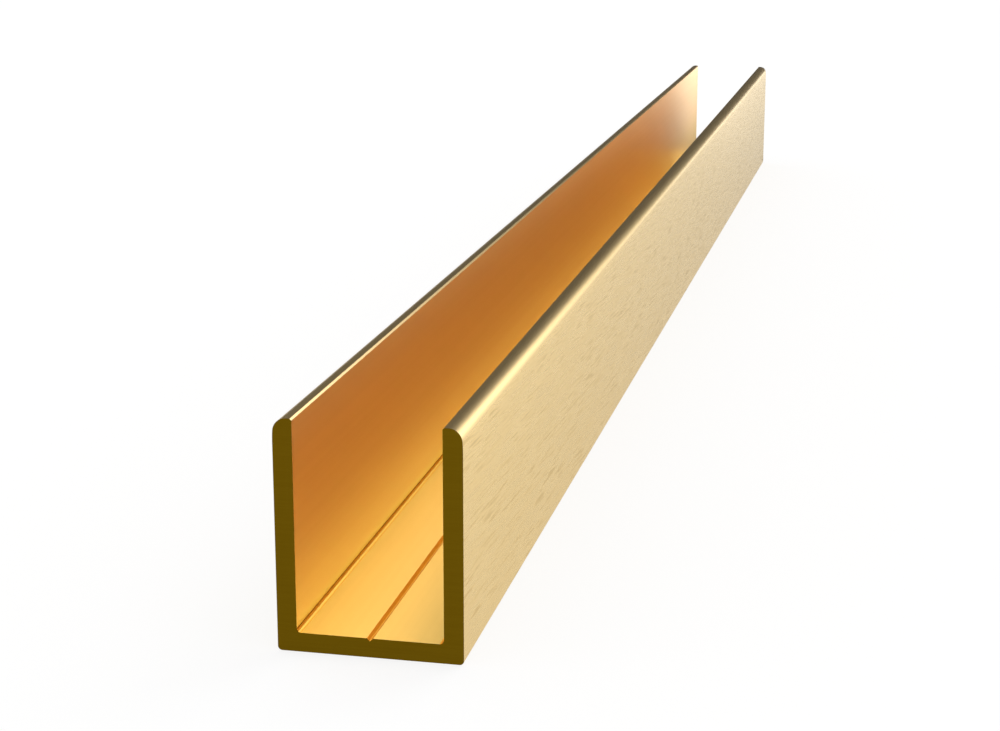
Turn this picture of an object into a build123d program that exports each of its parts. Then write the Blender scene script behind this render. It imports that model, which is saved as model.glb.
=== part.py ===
"""Aluminium U-channel: a straight extruded profile with square-cut ends.

The section stands on its web with the slot open upwards. Its flange lips are rounded on the
outside and bevelled on the inside, and a V-shaped groove along the middle of the web's inside
guides a drill.
Millimetres, +Z up, length along Y, origin at the middle of the web's underside.
"""

import os
from math import radians, tan

from build123d import *

# Driving dimensions
profile_length = 330.0
outer_width = 19.0
outer_height = 24.0
flange_thickness = 2.0
web_thickness = 2.0

# Lips, the free edges of the flanges: a large round outside, a narrow flat land, a small bevel inside
lip_land_width = 0.4
lip_bevel = 0.18

# Heels, the corners where the flanges meet the web
heel_outer_radius = 0.45
heel_inner_radius = 0.45

# Drilling groove along the middle of the web's inner face
groove_mouth_width = 0.64
groove_angle_deg = 90.0
groove_root_radius = 0.1

# Sizes that follow from the ones above
slot_width = outer_width - 2 * flange_thickness
slot_depth = outer_height - web_thickness
lip_outer_radius = flange_thickness - lip_land_width - lip_bevel
groove_depth = groove_mouth_width / 2 / tan(radians(groove_angle_deg / 2))
groove_root_height = web_thickness - groove_depth

with BuildPart() as u_channel:
    with BuildSketch(Plane.XZ) as section:
        # The outer block, and the slot that makes it a U
        Rectangle(outer_width, outer_height, align=(Align.CENTER, Align.MIN))
        with Locations((0, web_thickness)):
            Rectangle(slot_width, slot_depth, align=(Align.CENTER, Align.MIN), mode=Mode.SUBTRACT)

        # Heels: the slot's floor corners, then the corners of the web's underside
        fillet(section.vertices().group_by(Axis.Y)[1], heel_inner_radius)
        fillet(section.vertices().group_by(Axis.Y)[0], heel_outer_radius)

        # Lips: the outer corners first, which leaves the inner ones between the new tangent points
        lip_corners = section.vertices().group_by(Axis.Y)[-1].sort_by(Axis.X)
        fillet([lip_corners[0], lip_corners[-1]], lip_outer_radius)
        lip_corners = section.vertices().group_by(Axis.Y)[-1].sort_by(Axis.X)
        chamfer(lip_corners[1:-1], lip_bevel)

        # Drilling groove: a V cut into the slot's floor, with a rounded root
        with BuildLine():
            Polyline(
                (-groove_mouth_width / 2, web_thickness),
                (0, groove_root_height),
                (groove_mouth_width / 2, web_thickness),
                close=True,
            )
        make_face(mode=Mode.SUBTRACT)
        fillet(section.vertices().sort_by_distance((0, groove_root_height))[0], groove_root_radius)
    extrude(amount=profile_length / 2, both=True)

u_channel.part.label = "u_channel"
os.makedirs("parts", exist_ok=True)
export_step(u_channel.part, "parts/u_channel.step")
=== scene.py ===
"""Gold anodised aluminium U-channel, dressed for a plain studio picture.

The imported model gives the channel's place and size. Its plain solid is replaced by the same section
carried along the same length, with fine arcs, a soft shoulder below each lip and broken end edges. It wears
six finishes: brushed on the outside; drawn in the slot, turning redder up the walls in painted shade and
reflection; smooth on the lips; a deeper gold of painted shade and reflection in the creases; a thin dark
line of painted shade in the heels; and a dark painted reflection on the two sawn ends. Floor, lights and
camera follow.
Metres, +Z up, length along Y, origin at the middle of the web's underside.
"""

from __future__ import annotations

import logging
from dataclasses import dataclass, replace
from enum import IntEnum
from math import cos, pi, radians, sin, tan

import bpy
import numpy as np
from mathutils import Euler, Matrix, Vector


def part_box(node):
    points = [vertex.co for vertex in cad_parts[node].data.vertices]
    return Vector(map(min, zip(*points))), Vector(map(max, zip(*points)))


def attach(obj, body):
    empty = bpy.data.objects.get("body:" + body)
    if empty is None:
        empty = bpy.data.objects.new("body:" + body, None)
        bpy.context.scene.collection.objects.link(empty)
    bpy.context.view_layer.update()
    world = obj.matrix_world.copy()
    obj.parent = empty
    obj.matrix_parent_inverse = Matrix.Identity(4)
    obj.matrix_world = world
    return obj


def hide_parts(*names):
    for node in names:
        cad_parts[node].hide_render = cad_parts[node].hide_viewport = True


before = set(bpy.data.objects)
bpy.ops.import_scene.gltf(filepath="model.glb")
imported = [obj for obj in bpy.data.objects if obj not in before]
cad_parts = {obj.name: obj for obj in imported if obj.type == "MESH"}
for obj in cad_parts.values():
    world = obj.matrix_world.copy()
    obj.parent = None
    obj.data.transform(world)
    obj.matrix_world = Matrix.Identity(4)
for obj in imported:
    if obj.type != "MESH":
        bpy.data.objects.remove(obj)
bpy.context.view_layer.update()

log = logging.getLogger("u_channel")

Colour = tuple[float, float, float]
Point = tuple[float, float, float]
Size = tuple[float, float, float]
SectionPoint = tuple[float, float]
Span = tuple[float, float]
Node = bpy.types.Node
Socket = bpy.types.NodeSocket

MM = 0.001
WHITE: Colour = (1.0, 1.0, 1.0)
CHANNEL_NODE = "u_channel"
CHANNEL_BODY = "root"
GRAIN_MAP = "around_and_along"

# Where nearly all of a noise lies
NOISE_SPAN: Span = (0.3, 0.7)


class Surface(IntEnum):
    """Which finish a face wears. The value is its place in the piece's list of materials."""

    BRUSHED = 0
    DRAWN = 1
    LIP = 2
    # painted shade and reflection in the creases
    CREASE = 3
    # a thin dark line of painted shade in the inner heels
    DIE_LINE = 4
    # a dark painted reflection on the sawn ends
    SAWN = 5


class Facing(IntEnum):
    """The direction of a flat's outward normal in the section, in degrees from +X towards +Z."""

    DOWN = -90
    RIGHT = 0
    UP = 90
    LEFT = 180


class MixIn(IntEnum):
    """The inputs of a Mix node by number, because their names repeat."""

    SHARE = 0
    FIRST_NUMBER = 2
    SECOND_NUMBER = 3
    FIRST_COLOUR = 6
    SECOND_COLOUR = 7


class MixOut(IntEnum):
    """The outputs of a Mix node by number, because their names repeat."""

    NUMBER = 0
    COLOUR = 2


def rgba(colour: Colour) -> tuple[float, float, float, float]:
    """An opaque colour with its fourth number."""
    return (*colour, 1.0)


class NodeSheet:
    """A node tree that is filled from empty, one node at a time."""

    def __init__(self, tree: bpy.types.NodeTree) -> None:
        """Takes the node tree of a material or a world, and empties it."""
        self.tree = tree
        self.tree.nodes.clear()

    def add(self, kind: str, sockets: dict[str | int, object] | None = None, **settings: object) -> Node:
        """Adds one node.

        Args:
            kind: the node's class name.
            sockets: plain values for its inputs, by the input's name or number.
            settings: plain values for its own properties.

        Returns:
            The new node.
        """
        node = self.tree.nodes.new(kind)
        for name, value in settings.items():
            setattr(node, name, value)
        for name, value in (sockets or {}).items():
            node.inputs[name].default_value = value
        return node

    def link(self, source: Socket, target: Socket) -> None:
        """Runs a wire from an output to an input."""
        self.tree.links.new(source, target)

    def ranged(self, source: Socket, span: Span, to: Span = (0.0, 1.0)) -> Socket:
        """Carries a number from one span to another in a soft curve, held at both ends.

        Args:
            source: the number.
            span: where it starts and ends.
            to: what the start and the end become.

        Returns:
            The socket with the new number.
        """
        limits = {"From Min": span[0], "From Max": span[1], "To Min": to[0], "To Max": to[1]}
        node = self.add("ShaderNodeMapRange", limits, interpolation_type="SMOOTHSTEP")
        self.link(source, node.inputs["Value"])
        return node.outputs["Result"]

    def blend(self, share: Socket, first: Colour | Socket, second: Colour) -> Socket:
        """Mixes two colours by a share.

        Args:
            share: 0 for the first colour, 1 for the second.
            first: the colour at 0, or the socket with it.
            second: the colour at 1.

        Returns:
            The socket with the mixed colour.
        """
        node = self.add("ShaderNodeMix", data_type="RGBA")
        node.inputs[MixIn.SECOND_COLOUR].default_value = rgba(second)
        if isinstance(first, tuple):
            node.inputs[MixIn.FIRST_COLOUR].default_value = rgba(first)
        else:
            self.link(first, node.inputs[MixIn.FIRST_COLOUR])
        self.link(share, node.inputs[MixIn.SHARE])
        return node.outputs[MixOut.COLOUR]

    def faded(self, source: Socket, share: Socket, plain: float) -> Socket:
        """Draws a number towards a plain level where a share is low.

        Args:
            source: the number.
            share: 1 to keep it, 0 for the plain level.
            plain: the plain level.

        Returns:
            The socket with the faded number.
        """
        node = self.add("ShaderNodeMix", {MixIn.FIRST_NUMBER: plain}, data_type="FLOAT")
        self.link(share, node.inputs[MixIn.SHARE])
        self.link(source, node.inputs[MixIn.SECOND_NUMBER])
        return node.outputs[MixOut.NUMBER]

    def streaks(self, size: Size, layers: float, rise: float = 0.0) -> Socket:
        """Noise drawn out into streaks: object coordinates, turned about X and divided by a streak's size.

        Args:
            size: a streak's size along X, Y and Z, in metres.
            layers: how many finer layers the noise has.
            rise: how steeply a streak rises towards +Y, in degrees.

        Returns:
            The socket with the noise, from 0 to 1.
        """
        place = self.add("ShaderNodeTexCoord")
        turned = {"Rotation": (radians(rise), 0.0, 0.0), "Scale": size}
        stretch = self.add("ShaderNodeMapping", turned, vector_type="TEXTURE")
        noise = self.add("ShaderNodeTexNoise", {"Scale": 1.0, "Detail": layers})
        self.link(place.outputs["Object"], stretch.inputs["Vector"])
        self.link(stretch.outputs["Vector"], noise.inputs["Vector"])
        return noise.outputs["Fac"]

    def height(self) -> Socket:
        """Reads how high a point of the object is.

        Returns:
            The socket with the height above the web's underside, in metres.
        """
        place = self.add("ShaderNodeTexCoord")
        parts = self.add("ShaderNodeSeparateXYZ")
        self.link(place.outputs["Object"], parts.inputs["Vector"])
        return parts.outputs["Z"]

    def metal(self, edge_tint: Colour, grain: float, colour: Socket, roughness: Socket | float) -> Node:
        """Adds a metal shader and the tree's output. The grain spreads the shine across the length
        rather than along it, by the map that runs around the section.

        Args:
            edge_tint: what the metal keeps of its shine at a glancing view.
            grain: how much more the shine spreads across than along, from 0 to 1.
            colour: the socket with its colour.
            roughness: one number for the whole surface, or the socket with it.

        Returns:
            The metal shader.
        """
        fixed = {"Metallic": 1.0, "Specular Tint": rgba(edge_tint), "Anisotropic": grain}
        shader = self.add("ShaderNodeBsdfPrincipled", fixed)
        across = self.add("ShaderNodeTangent", direction_type="UV_MAP", uv_map=GRAIN_MAP)
        out = self.add("ShaderNodeOutputMaterial")
        self.link(across.outputs["Tangent"], shader.inputs["Tangent"])
        self.link(colour, shader.inputs["Base Color"])
        if isinstance(roughness, float):
            shader.inputs["Roughness"].default_value = roughness
        else:
            self.link(roughness, shader.inputs["Roughness"])
        self.link(shader.outputs["BSDF"], out.inputs["Surface"])
        return shader


def empty_material(name: str) -> tuple[bpy.types.Material, NodeSheet]:
    """Makes a material with nothing in it.

    Args:
        name: the material's name.

    Returns:
        The material and its empty node tree.
    """
    made = bpy.data.materials.new(name)
    made.use_nodes = True
    return made, NodeSheet(made.node_tree)


@dataclass(frozen=True)
class BrushedGold:
    """The outside: pale gold, brushed almost along the length in short strokes. They are clear in some
    patches and faint in others. Angles in degrees."""

    pale: Colour = (0.91, 0.688, 0.35)
    deep: Colour = (0.7, 0.507, 0.23)
    edge_tint: Colour = (0.7, 0.66, 0.545)
    stroke_width: float = 0.29 * MM
    stroke_length: float = 6.5 * MM
    stroke_depth: float = 0.0018 * MM
    stroke_rise: float = -3.6
    stroke_layers: float = 2.0
    stroke_span: Span = (0.3, 0.52)
    patch_width: float = 3.0 * MM
    patch_length: float = 16.0 * MM
    patch_layers: float = 1.0
    patch_span: Span = (0.35, 0.6)
    faintest_share: float = 0.25
    plain_tone: float = 0.8
    smoothest: float = 0.26
    roughest: float = 0.32
    grain: float = 0.95

    def material(self) -> bpy.types.Material:
        """Metal whose colour, gloss and relief all follow one field of strokes, and whose shine is
        spread across the length rather than along it.

        Returns:
            The material.
        """
        made, sheet = empty_material("brushed_gold")
        stroke_size = (self.stroke_width, self.stroke_length, self.stroke_width)
        patch_size = (self.patch_width, self.patch_length, self.patch_width)
        strokes = sheet.streaks(stroke_size, self.stroke_layers, self.stroke_rise)
        patches = sheet.streaks(patch_size, self.patch_layers)
        clear = sheet.ranged(patches, self.patch_span, (self.faintest_share, 1.0))
        tone = sheet.faded(sheet.ranged(strokes, self.stroke_span), clear, self.plain_tone)
        gloss = sheet.ranged(strokes, NOISE_SPAN, (self.roughest, self.smoothest))
        metal = sheet.metal(self.edge_tint, self.grain, sheet.blend(tone, self.deep, self.pale), gloss)
        relief = sheet.add("ShaderNodeBump", {"Strength": 1.0, "Distance": self.stroke_depth})
        sheet.link(strokes, relief.inputs["Height"])
        sheet.link(relief.outputs["Normal"], metal.inputs["Normal"])
        return made


@dataclass(frozen=True)
class DrawnGold:
    """The slot, with faint drawn lines. Its colour, yellow on the web and redder up the walls, is painted
    shade and reflection from the gold walls facing each other.
    """

    # Painted shade and reflection: these three colours grow redder from the web up to the lips
    web: Colour = (0.93, 0.74, 0.224)
    wall: Colour = (1.0, 0.685, 0.232)
    lip: Colour = (0.91, 0.592, 0.258)
    edge_tint: Colour = WHITE
    web_height: float = 2 * MM
    wall_height: float = 4 * MM
    lip_height: float = 15 * MM
    line_width: float = 0.6 * MM
    line_length: float = 90 * MM
    line_layers: float = 2.0
    line_shade: float = 0.985
    smoothest: float = 0.36
    roughest: float = 0.38
    grain: float = 0.0

    def material(self) -> bpy.types.Material:
        """Metal whose colour runs from web to wall to lip as painted shade and reflection, a little darker
        and duller on the drawn lines.

        Returns:
            The material.
        """
        made, sheet = empty_material("drawn_gold")
        lines = sheet.streaks((self.line_width, self.line_length, self.line_width), self.line_layers)
        height = sheet.height()
        # Painted shade and reflection: the colour turns redder with height, from web to wall to lip
        low = sheet.ranged(height, (self.web_height, self.wall_height))
        high = sheet.ranged(height, (self.wall_height, self.lip_height))
        lower_part = sheet.blend(low, self.web, self.wall)
        shade = sheet.add("ShaderNodeHueSaturation")
        sheet.link(sheet.blend(high, lower_part, self.lip), shade.inputs["Color"])
        sheet.link(sheet.ranged(lines, NOISE_SPAN, (self.line_shade, 1.0)), shade.inputs["Value"])
        gloss = sheet.ranged(lines, NOISE_SPAN, (self.roughest, self.smoothest))
        sheet.metal(self.edge_tint, self.grain, shade.outputs["Color"], gloss)
        return made


@dataclass(frozen=True)
class LinedGold:
    """Gold with fine lines of a lighter and a deeper tone: lips, creases, a dark line and the ends. The
    creases hold painted shade and reflection, the line painted shade and the ends a painted dark reflection.
    """

    name: str
    light: Colour
    deep: Colour
    edge_tint: Colour
    roughness: float
    grain: float = 0.0
    line_size: Size = (0.5 * MM, 80 * MM, 0.5 * MM)
    line_layers: float = 1.0

    def material(self) -> bpy.types.Material:
        """Metal whose tone varies a little from line to line.

        Returns:
            The material.
        """
        made, sheet = empty_material(self.name)
        tone = sheet.ranged(sheet.streaks(self.line_size, self.line_layers), NOISE_SPAN)
        sheet.metal(self.edge_tint, self.grain, sheet.blend(tone, self.deep, self.light), self.roughness)
        return made


SMOOTH_LIP = LinedGold(
    "smooth_lip", light=(0.86, 0.645, 0.335), deep=(0.84, 0.625, 0.32), edge_tint=(0.7, 0.66, 0.55),
    roughness=0.28, grain=0.85,
)
# Painted shade and reflection: a deeper, more orange gold in the inner corners and the groove
CREASE_PAINTED_SHADE_AND_REFLECTION = LinedGold(
    "crease_painted_shade_and_reflection", light=(0.96, 0.61, 0.12), deep=(0.94, 0.59, 0.11), edge_tint=(0.7, 0.55, 0.4),
    roughness=0.36,
)
# Painted shade: a thin dark line at the top of each inner heel, where the wall meets the round
DARK_PAINTED_SHADE_LINE = replace(CREASE_PAINTED_SHADE_AND_REFLECTION, name="painted_shade_line", light=(0.41, 0.19, 0.045), deep=(0.39, 0.17, 0.04))
# Painted reflection: the ends' dark olive stands for the gold mirroring dark surroundings, not its own
# colour
PAINTED_DARK_REFLECTION_END = LinedGold(
    "painted_dark_reflection_end", light=(0.142, 0.083, 0.0025), deep=(0.134, 0.077, 0.002), edge_tint=(0.5, 0.4, 0.2),
    roughness=0.45, line_size=(6 * MM, 6 * MM, 0.12 * MM),
)

FINISHES: dict[Surface, BrushedGold | DrawnGold | LinedGold] = {
    Surface.BRUSHED: BrushedGold(),
    Surface.DRAWN: DrawnGold(),
    Surface.LIP: SMOOTH_LIP,
    Surface.CREASE: CREASE_PAINTED_SHADE_AND_REFLECTION,
    Surface.DIE_LINE: DARK_PAINTED_SHADE_LINE,
    Surface.SAWN: PAINTED_DARK_REFLECTION_END,
}


@dataclass
class Outline:
    """A run of section points, each with its outward normal and the finish of the face that follows it."""

    points: np.ndarray
    normals: np.ndarray
    finish: np.ndarray

    @staticmethod
    def turn(centre: SectionPoint, radius: float, start: float, end: float, steps: int,
             arc: Surface, flat: Surface | None = None, hollow: bool = False) -> Outline:
        """An arc between two directions of its normal: the centre plus the radius times the normal,
        or minus it in a hollow corner.

        Args:
            centre: the arc's centre, across and up.
            radius: its radius.
            start: the first normal's direction in degrees, from +X towards +Z.
            end: the last normal's direction.
            steps: how many chords the arc gets.
            arc: what the arc wears.
            flat: what the flat after it wears, where that isn't the same.
            hollow: whether the metal lies outside the arc.

        Returns:
            The arc as a run of the outline.
        """
        angles = np.radians(np.linspace(start, end, steps + 1))
        normals = np.stack([np.cos(angles), np.sin(angles)], axis=1)
        points = np.asarray(centre) + (-radius if hollow else radius) * normals
        finish = np.full(steps + 1, int(arc))
        finish[-1] = int(arc if flat is None else flat)
        return Outline(points, normals, finish)

    @staticmethod
    def corner(point: SectionPoint, radius: float, start: float, end: float, steps: int,
               arc: Surface, flat: Surface | None = None, hollow: bool = False) -> Outline:
        """A rounded corner between two flats: an arc whose centre lies on the corner's bisector, at the
        radius over the cosine of half the turn, inside the metal or outside it in a hollow corner.

        Args:
            point: where the two flats would meet, across and up.
            radius: the round's radius.
            start: the direction of the first flat's normal in degrees, from +X towards +Z.
            end: the direction of the second flat's normal.
            steps: how many chords the arc gets.
            arc: what the arc wears.
            flat: what the flat after it wears, where that isn't the same.
            hollow: whether the metal lies outside the arc.

        Returns:
            The arc as a run of the outline.
        """
        middle, half_turn = radians((start + end) / 2), radians((end - start) / 2)
        reach = (radius if hollow else -radius) / cos(half_turn)
        centre = (point[0] + reach * cos(middle), point[1] + reach * sin(middle))
        return Outline.turn(centre, radius, start, end, steps, arc, flat, hollow)

    @staticmethod
    def join(runs: list[Outline]) -> Outline:
        """Puts runs one after another."""
        names = ("points", "normals", "finish")
        return Outline(*(np.concatenate([getattr(run, name) for run in runs]) for name in names))

    def without_first(self) -> Outline:
        """The same run short of its first point, which the run before it ends with."""
        return Outline(self.points[1:], self.normals[1:], self.finish[1:])

    def without_last(self) -> Outline:
        """The same run short of its last point, which the next run starts with."""
        return Outline(self.points[:-1], self.normals[:-1], self.finish[:-1])

    def mirrored(self) -> Outline:
        """The same run on the other side of the middle plane, walked backwards, its faces' finishes too."""
        flip = np.array([-1.0, 1.0])
        return Outline(self.points[::-1] * flip, self.normals[::-1] * flip, np.roll(self.finish[::-1], -1))


@dataclass
class Channel:
    """The U-channel: one section, carried along a straight path. Sizes in metres, angles in degrees."""

    width: float
    height: float
    length: float
    flange_thickness: float = 2.0 * MM
    web_thickness: float = 2.0 * MM
    lip_land_width: float = 0.4 * MM
    lip_bevel: float = 0.18 * MM
    lip_edge_radius: float = 0.03 * MM
    lip_edge_chords: int = 3
    lip_round_chords: int = 28
    shoulder_radius: float = 14.0 * MM
    shoulder_turn: float = 4.5
    shoulder_chords: int = 6
    heel_outer_radius: float = 0.45 * MM
    heel_outer_chords: int = 8
    heel_inner_radius: float = 0.45 * MM
    heel_inner_chords: int = 10
    painted_shade_line_chords: int = 2
    groove_mouth_width: float = 0.64 * MM
    groove_mouth_radius: float = 0.03 * MM
    groove_wall_slope: float = 45.0
    groove_root_radius: float = 0.1 * MM
    groove_chords: int = 4
    end_break: float = 0.015 * MM
    stations: int = 34

    @classmethod
    def from_frame(cls) -> Channel:
        """A channel as wide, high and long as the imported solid."""
        low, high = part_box(CHANNEL_NODE)
        return cls(width=high.x - low.x, height=high.z - low.z, length=high.y - low.y)

    @property
    def slot_side(self) -> float:
        """How far a flange's inner face lies from the middle plane."""
        return self.width / 2 - self.flange_thickness

    def outside(self) -> list[Outline]:
        """The outside of the right flange: its heel, a soft shoulder and the lip's round, two arcs that
        meet in line. The round's radius is the way from its land to the flange's face, less what the
        shoulder draws in, over the cosine of the shoulder's turn.

        Returns:
            The three runs, from the web's underside up to the lip's land.
        """
        side, shoulder, turn = self.width / 2, self.shoulder_radius, self.shoulder_turn
        land_side = self.slot_side + self.lip_bevel + self.lip_land_width
        sine, cosine = sin(radians(turn)), cos(radians(turn))
        lip_round = (side - land_side - shoulder * (1 - cosine)) / cosine
        shoulder_centre = (side - shoulder, self.height - lip_round * (1 - sine) - shoulder * sine)
        round_centre = (land_side, self.height - lip_round)
        brushed, lip = Surface.BRUSHED, Surface.LIP
        down, right, up = Facing.DOWN, Facing.RIGHT, Facing.UP
        heel = Outline.corner(
            (side, 0.0), self.heel_outer_radius, down, right, self.heel_outer_chords, brushed
        )
        rise =Outline.turn(shoulder_centre, shoulder, right, turn, self.shoulder_chords, brushed)
        crown = Outline.turn(round_centre, lip_round, turn, up, self.lip_round_chords, lip)
        return [heel, rise.without_last(), crown]

    def inside(self) -> list[Outline]:
        """The right half of the slot: the bevel's two rounded edges, the inner heel with a dark line of
        painted shade at its top and a deeper gold of painted shade and reflection in the rest of its round,
        and the groove in the same deeper gold. The groove's root is an arc whose centre stands above the
        point of the V by its radius over the cosine of the walls' slope.

        Returns:
            The five runs, from the lip's land down to the groove's root.
        """
        side, top, floor, bevel = self.slot_side, self.height, self.web_thickness, self.lip_bevel
        mouth, slope, root = self.groove_mouth_width / 2, self.groove_wall_slope, self.groove_root_radius
        root_centre = (0.0, floor - mouth * tan(radians(slope)) + root / cos(radians(slope)))
        edge, edge_chords, groove_chords = self.lip_edge_radius, self.lip_edge_chords, self.groove_chords
        drawn, lip, crease = Surface.DRAWN, Surface.LIP, Surface.CREASE
        up, left = Facing.UP, Facing.LEFT
        slanted, groove_wall = (up + left) / 2, up + slope
        heel = Outline.corner(
            (side, floor), self.heel_inner_radius, left, up, self.heel_inner_chords,
            arc=crease, flat=drawn, hollow=True,
        )
        # Painted shade: the heel's first chords, next to the wall, get the thin dark line
        heel.finish[:self.painted_shade_line_chords] = int(Surface.DIE_LINE)
        return [
            Outline.corner((side + bevel, top), edge, up, slanted, edge_chords, lip),
            Outline.corner((side, top - bevel), edge, slanted, left, edge_chords, lip, drawn),
            heel,
            Outline.corner((mouth, floor), self.groove_mouth_radius, up, groove_wall, groove_chords, crease),
            Outline.turn(root_centre, root, groove_wall, up, groove_chords, crease, hollow=True),
        ]

    def section(self) -> Outline:
        """The whole closed section, counter-clockwise as seen from the near end: the right half, then its
        mirror image without the shared root point. Only the arcs have points, and the flats are the
        straight lines between them. The last face is the web's underside, brushed like the outside.

        Returns:
            The closed outline.
        """
        right = Outline.join(self.outside() + self.inside())
        left = right.mirrored()
        left.finish[-1] = int(Surface.BRUSHED)
        return Outline.join([right, left.without_first()])

    def rings(self, outline: Outline) -> tuple[np.ndarray, np.ndarray]:
        """The section at every station: point (i, j) is outline point j, drawn in along its normal by
        the end break on the first and last ring, at the y of station i.

        Args:
            outline: the closed section.

        Returns:
            Positions and normals, both shaped stations by points by 3.
        """
        half = self.length / 2
        inner = np.linspace(-half + self.end_break, half - self.end_break, self.stations - 2)
        y = np.concatenate([[-half], inner, [half]])
        inset = np.zeros(self.stations)
        inset[[0, -1]] = self.end_break
        flat = outline.points[None] - inset[:, None, None] * outline.normals[None]
        along = np.broadcast_to(y[:, None], flat.shape[:2])
        places = np.stack([flat[..., 0], along, flat[..., 1]], axis=-1)
        normals = np.zeros_like(places)
        normals[..., [0, 2]] = outline.normals
        normals[0] = (0.0, -1.0, 0.0)
        normals[-1] = (0.0, 1.0, 0.0)
        return places, normals

    def faces(self, outline: Outline) -> tuple[np.ndarray, np.ndarray, np.ndarray]:
        """The faces of a closed skin: quads between neighbouring rings, and one flat face on each end.
        The broken edges and the sawn ends wear a dark painted reflection.

        Args:
            outline: the closed section.

        Returns:
            The vertex at every face corner, how many corners each face has, and each face's finish.
        """
        rows, count = self.stations, len(outline.points)
        index = np.arange(rows * count).reshape(rows, count)
        beside = np.roll(index, -1, axis=1)
        quads = np.stack([index[:-1], index[1:], beside[1:], beside[:-1]], axis=-1).reshape(-1, 4)
        walls = np.broadcast_to(outline.finish, (rows - 1, count)).copy()
        # Painted reflection: the broken end edges take the ends' dark colour
        walls[[0, -1]] = int(Surface.SAWN)
        corners = np.concatenate([quads.ravel(), index[0], index[-1][::-1]])
        sizes = np.concatenate([np.full(len(quads), 4), [count, count]])
        # Painted reflection: both end faces are dark
        finish = np.concatenate([walls.ravel(), [int(Surface.SAWN)] * 2])
        return corners, sizes, finish

    @staticmethod
    def grain_map(outline: Outline, places: np.ndarray) -> np.ndarray:
        """Map coordinates of every face corner: on the skin the distance around the section and the y,
        on the ends the x and z.

        Args:
            outline: the closed section.
            places: the rings' positions.

        Returns:
            Two coordinates a corner, in the order of the faces' corners.
        """
        step = np.linalg.norm(np.roll(outline.points, -1, axis=0) - outline.points, axis=1)
        ahead = np.cumsum(step)
        behind = ahead - step
        y = places[:, :1, 1]
        shape = (len(places) - 1, len(step), 4)
        around = np.broadcast_to(np.stack([behind, behind, ahead, ahead], axis=-1), shape)
        along = np.broadcast_to(np.stack([y[:-1], y[1:], y[1:], y[:-1]], axis=-1), shape)
        skin = np.stack([around, along], axis=-1).reshape(-1, 2)
        return np.concatenate([skin, places[0][:, [0, 2]], places[-1][::-1][:, [0, 2]]])

    def mesh(self) -> bpy.types.Mesh:
        """Puts the rings, the faces and the map into one mesh.

        Returns:
            The mesh, with smooth faces, exact normals and each face's finish.
        """
        outline = self.section()
        places, normals = self.rings(outline)
        corners, sizes, finish = self.faces(outline)
        made = bpy.data.meshes.new("channel")
        made.vertices.add(places.size // 3)
        made.vertices.foreach_set("co", places.ravel())
        made.loops.add(len(corners))
        made.loops.foreach_set("vertex_index", corners)
        made.polygons.add(len(sizes))
        made.polygons.foreach_set("loop_start", np.cumsum(sizes) - sizes)
        made.polygons.foreach_set("material_index", finish)
        made.update(calc_edges=True)
        made.uv_layers.new(name=GRAIN_MAP).data.foreach_set("uv", self.grain_map(outline, places).ravel())
        made.polygons.foreach_set("use_smooth", np.ones(len(sizes), bool))
        made.normals_split_custom_set_from_vertices(normals.reshape(-1, 3))
        return made

    def build(self) -> bpy.types.Object:
        """Makes the piece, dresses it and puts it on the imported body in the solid's place.

        Returns:
            The finished piece.
        """
        mesh = self.mesh()
        for surface in Surface:
            mesh.materials.append(FINISHES[surface].material())
        piece = bpy.data.objects.new("channel", mesh)
        bpy.context.scene.collection.objects.link(piece)
        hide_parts(CHANNEL_NODE)
        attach(piece, CHANNEL_BODY)
        return piece


@dataclass(frozen=True)
class Softbox:
    """A rectangular lamp, placed by its direction and reach as seen from the channel. Angles in degrees."""

    name: str
    azimuth: float
    elevation: float
    half_width: float
    half_height: float
    level: float
    distance: float = 6.0

    def build(self) -> bpy.types.Object:
        """Makes the lamp: its power is pi times its area times its brightness.

        Returns:
            The lamp's object, unseen by the camera itself.
        """
        across = 2 * self.distance * tan(radians(self.half_width))
        up = 2 * self.distance * tan(radians(self.half_height))
        lamp = bpy.data.lights.new(self.name, "AREA")
        lamp.shape = "RECTANGLE"
        lamp.size, lamp.size_y = across, up
        lamp.energy = pi * across * up * self.level
        made = bpy.data.objects.new(self.name, lamp)
        azimuth, elevation = radians(self.azimuth), radians(self.elevation)
        direction = Vector((sin(azimuth) * cos(elevation), cos(azimuth) * cos(elevation), sin(elevation)))
        made.location = self.distance * direction
        made.rotation_euler = direction.to_track_quat("Z", "Y").to_euler()
        made.visible_camera = False
        bpy.context.scene.collection.objects.link(made)
        return made


# One lamp high beyond the far end, and a low one on either side
SOFTBOXES = (
    Softbox("top_softbox", azimuth=24.8, elevation=39.9, half_width=13.3, half_height=20.3, level=2.0),
    Softbox("right_softbox", azimuth=30.0, elevation=9.5, half_width=14.0, half_height=9.5, level=1.6),
    Softbox("left_softbox", azimuth=-49.7, elevation=23.7, half_width=19.3, half_height=12.8, level=0.6),
)


@dataclass(frozen=True)
class Card:
    """A plain sheet, dark or bright, that shows only in the metal's shine."""

    name: str
    corners: list[Point]
    level: float

    def build(self) -> bpy.types.Object:
        """Makes the sheet from its four corners.

        Returns:
            The sheet, unseen by the camera and casting no shadow.
        """
        mesh = bpy.data.meshes.new(self.name)
        mesh.from_pydata(self.corners, [], [(0, 1, 2, 3)])
        paper, sheet = empty_material(self.name)
        glow = sheet.add("ShaderNodeEmission", {"Color": rgba(WHITE), "Strength": self.level})
        out = sheet.add("ShaderNodeOutputMaterial")
        sheet.link(glow.outputs["Emission"], out.inputs["Surface"])
        mesh.materials.append(paper)
        made = bpy.data.objects.new(self.name, mesh)
        made.visible_camera = False
        made.visible_diffuse = False
        made.visible_shadow = False
        bpy.context.scene.collection.objects.link(made)
        return made


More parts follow.
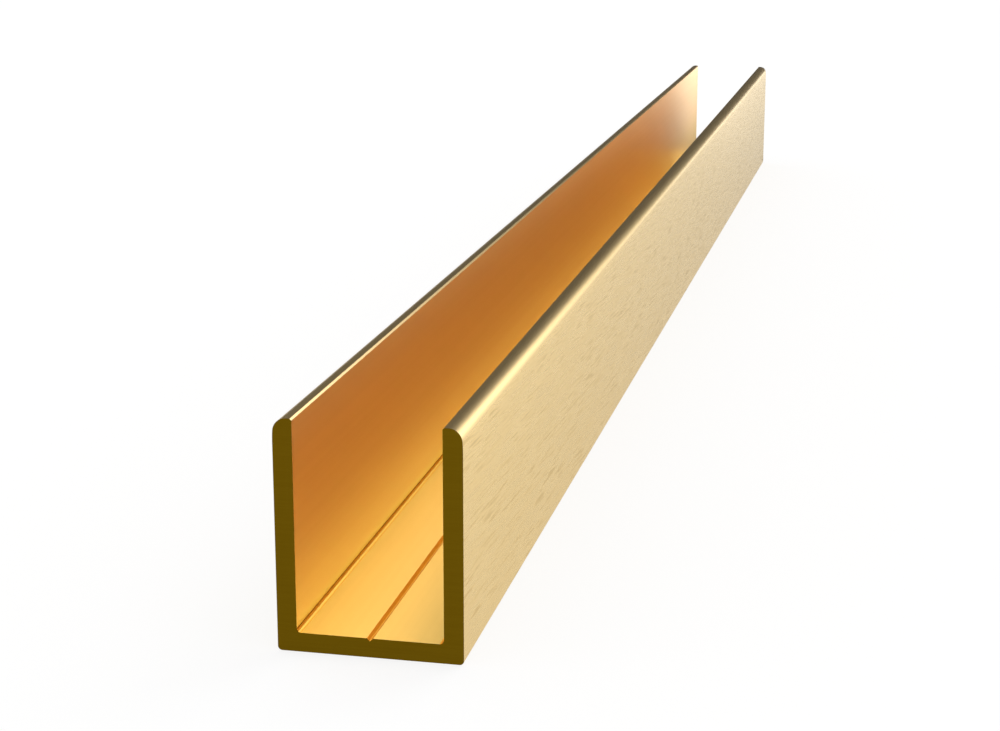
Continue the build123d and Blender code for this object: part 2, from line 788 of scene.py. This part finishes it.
@dataclass(frozen=True)
class Studio:
    """A pale floor in a white room, with softboxes and cards that the metal reflects. Sizes in metres,
    angles in degrees."""

    room_level: float = 1.0
    floor_size: float = 30.0
    floor_colour: Colour = (0.9, 0.9, 0.9)
    floor_level: float = 1.0
    shadow_share: float = 0.2
    backdrop_distance: float = 6.0
    backdrop_left: float = -37.0
    backdrop_right: float = 13.4
    backdrop_top: float = 30.5
    backdrop_level: float = 0.111
    card_lift: float = 0.5 * MM
    runner_across: Span = (-30 * MM, 10 * MM)
    runner_along: Span = (166 * MM, 1500 * MM)
    runner_level: float = 0.2
    side_across: Span = (40 * MM, 200 * MM)
    side_along: Span = (-500 * MM, 260 * MM)
    side_level: float = 1.35
    bounce_across: Span = (38 * MM, 400 * MM)
    bounce_along: Span = (260 * MM, 1200 * MM)
    bounce_level: float = 2.3

    def room(self) -> None:
        """A plain white world, the same behind things, in the metal and as light."""
        world = bpy.data.worlds.new("room")
        world.use_nodes = True
        sheet = NodeSheet(world.node_tree)
        white = sheet.add("ShaderNodeBackground", {"Color": rgba(WHITE), "Strength": self.room_level})
        out = sheet.add("ShaderNodeOutputWorld")
        sheet.link(white.outputs["Background"], out.inputs["Surface"])
        bpy.context.scene.world = world

    @staticmethod
    def background_share(sheet: NodeSheet) -> Socket:
        """1 for rays from the camera, off gloss or through glass, and 0 for the rest.

        Args:
            sheet: the tree that needs it.

        Returns:
            The socket with the share.
        """
        path = sheet.add("ShaderNodeLightPath")
        first = sheet.add("ShaderNodeMath", operation="ADD")
        second = sheet.add("ShaderNodeMath", operation="ADD", use_clamp=True)
        sheet.link(path.outputs["Is Camera Ray"], first.inputs[0])
        sheet.link(path.outputs["Is Glossy Ray"], first.inputs[1])
        sheet.link(first.outputs[0], second.inputs[0])
        sheet.link(path.outputs["Is Transmission Ray"], second.inputs[1])
        return second.outputs[0]

    def floor(self) -> bpy.types.Object:
        """A level square sheet. White light of its own lifts it to the room's white, and the part of
        it that stays matt keeps the channel's shadow.

        Returns:
            The floor.
        """
        half = self.floor_size / 2
        corners = half * np.array([[-1, -1, 0], [1, -1, 0], [1, 1, 0], [-1, 1, 0]], float)
        mesh = bpy.data.meshes.new("floor")
        mesh.from_pydata(corners.tolist(), [], [(0, 1, 2, 3)])
        paper, sheet = empty_material("white_paper")
        matt = sheet.add("ShaderNodeBsdfDiffuse", {"Color": rgba(self.floor_colour)})
        white = sheet.add("ShaderNodeEmission", {"Color": rgba(WHITE), "Strength": self.floor_level})
        share = sheet.add("ShaderNodeMath", {1: 1 - self.shadow_share}, operation="MULTIPLY")
        mix = sheet.add("ShaderNodeMixShader")
        out = sheet.add("ShaderNodeOutputMaterial")
        sheet.link(self.background_share(sheet), share.inputs[0])
        sheet.link(share.outputs[0], mix.inputs[0])
        sheet.link(matt.outputs["BSDF"], mix.inputs[1])
        sheet.link(white.outputs["Emission"], mix.inputs[2])
        sheet.link(mix.outputs["Shader"], out.inputs["Surface"])
        mesh.materials.append(paper)
        made = bpy.data.objects.new("floor", mesh)
        bpy.context.scene.collection.objects.link(made)
        return made

    def level_card(self, across: Span, along: Span) -> list[Point]:
        """The corners of a card that lies on the floor, between two x and two y."""
        (x0, x1), (y0, y1), z = across, along, self.card_lift
        return [(x0, y0, z), (x1, y0, z), (x1, y1, z), (x0, y1, z)]

    def cards(self) -> list[Card]:
        """A dark upright backdrop beyond the far end, a dark runner on the floor towards it, a soft card
        beside the channel and a bright bounce card beside the runner. The backdrop's edges lie off the
        middle by its distance times the tangents of their angles.

        Returns:
            The four cards.
        """
        far = self.backdrop_distance
        edges = np.radians([self.backdrop_left, self.backdrop_right, self.backdrop_top])
        left, right, top = far * np.tan(edges)
        upright = [(left, far, 0.0), (right, far, 0.0), (right, far, top), (left, far, top)]
        return [
            Card("dark_backdrop", upright, self.backdrop_level),
            Card("dark_runner", self.level_card(self.runner_across, self.runner_along), self.runner_level),
            Card("side_card", self.level_card(self.side_across, self.side_along), self.side_level),
            Card("bounce_card", self.level_card(self.bounce_across, self.bounce_along), self.bounce_level),
        ]

    def build(self) -> None:
        """Sets up the room, the floor, the cards and the lamps."""
        self.room()
        self.floor()
        for card in self.cards():
            card.build()
        for softbox in SOFTBOXES:
            softbox.build()


@dataclass(frozen=True)
class PhotoCamera:
    """The photograph's viewpoint, in millimetres and degrees, and its lens on a 36 mm frame."""

    place: Point = (51.876, -344.412, 77.595)
    turned_left: float = 12.198
    tipped_down: float = 14.412
    lens: float = 72.976
    nearest: float = 10.0

    def build(self) -> bpy.types.Object:
        """Makes the camera and gives it to the scene.

        Returns:
            The camera's object.
        """
        data = bpy.data.cameras.new("camera")
        data.lens = self.lens
        data.sensor_fit = "HORIZONTAL"
        data.clip_start = self.nearest * MM
        made = bpy.data.objects.new("camera", data)
        made.location = Vector(self.place) * MM
        made.rotation_euler = Euler((radians(90 - self.tipped_down), 0.0, radians(self.turned_left)))
        bpy.context.scene.collection.objects.link(made)
        bpy.context.scene.camera = made
        return made


def main() -> None:
    """Builds the channel, its studio and its camera, in that order."""
    logging.basicConfig(level=logging.INFO, format="%(message)s")
    piece = Channel.from_frame().build()
    log.info("%s: %d faces", piece.name, len(piece.data.polygons))
    Studio().build()
    log.info("studio: floor, cards and softboxes")
    PhotoCamera().build()
    log.info("camera: at the photograph's viewpoint")
    bpy.context.scene.view_settings.view_transform = "Standard"


if __name__ == "__main__":
    main()
